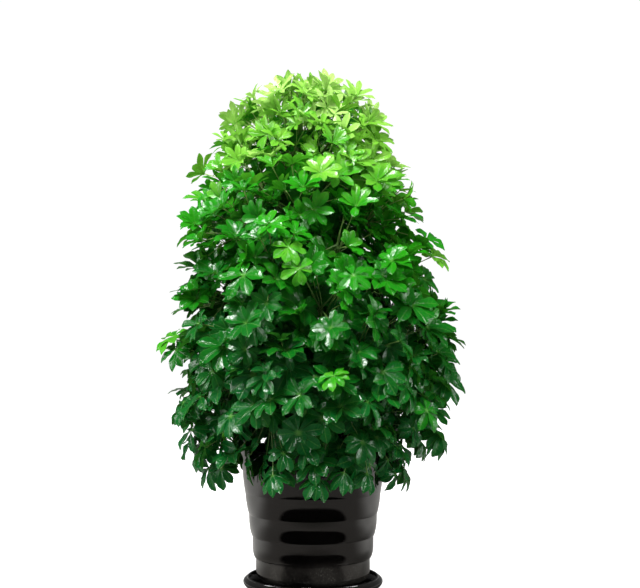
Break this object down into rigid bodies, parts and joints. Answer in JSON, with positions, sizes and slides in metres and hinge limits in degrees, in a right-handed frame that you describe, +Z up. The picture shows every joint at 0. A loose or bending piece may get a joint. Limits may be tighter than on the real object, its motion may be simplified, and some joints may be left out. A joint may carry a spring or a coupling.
{
  "type": "potted umbrella plant",
  "caption": "Bushy umbrella plant with an egg-shaped crown of star-like compound leaves on woody canes, in a tiered glossy black pot on a saucer.",
  "frame": {"origin": "centre of the saucer's underside, on the surface that the plant stands on", "axes": "+Z up along the pot's axis; the front, as pictured, looks along -Y; +X is to the viewer's right"},
  "size_m": [0.723, 0.7112, 1.2381],
  "materials": {
    "black_plastic": "gloss",
    "compost": "matte",
    "bark": "matte",
    "leaf_deep_green": "gloss",
    "leaf_green": "satin",
    "leaf_lime": "satin"
  },
  "bodies": {
    "root": {"saucer": "black_plastic", "pot": "black_plastic", "soil": "compost", "cane_1": "bark", "cane_2": "bark", "cane_3": "bark", "cane_4": "bark", "cane_5": "bark", "cane_6": "bark", "shoot_01": "leaf_deep_green", "shoot_02": "leaf_deep_green", "shoot_03": "leaf_deep_green", "shoot_04": "leaf_deep_green", "shoot_05": "leaf_deep_green", "shoot_06": "leaf_deep_green", "shoot_07": "leaf_deep_green", "shoot_08": "leaf_deep_green", "shoot_09": "leaf_deep_green", "shoot_10": "leaf_deep_green", "shoot_11": "leaf_deep_green", "shoot_12": "leaf_deep_green", "shoot_13": "leaf_deep_green", "shoot_14": "leaf_deep_green", "shoot_15": "leaf_deep_green", "shoot_16": "leaf_green", "shoot_17": "leaf_green", "shoot_18": "leaf_green", "shoot_19": "leaf_green", "shoot_20": "leaf_green", "shoot_21": "leaf_green", "shoot_22": "leaf_green", "shoot_23": "leaf_green", "shoot_24": "leaf_green", "shoot_25": "leaf_green", "shoot_26": "leaf_green", "shoot_27": "leaf_green", "shoot_28": "leaf_green", "shoot_29": "leaf_green", "shoot_30": "leaf_lime", "shoot_31": "leaf_lime", "shoot_32": "leaf_lime", "shoot_33": "leaf_lime", "shoot_34": "leaf_lime", "shoot_35": "leaf_lime", "shoot_36": "leaf_lime", "shoot_37": "leaf_lime", "shoot_38": "leaf_lime", "shoot_39": "leaf_lime", "shoot_40": "leaf_lime", "shoot_41": "leaf_lime", "shoot_42": "leaf_lime"}
  },
  "joints": []
}
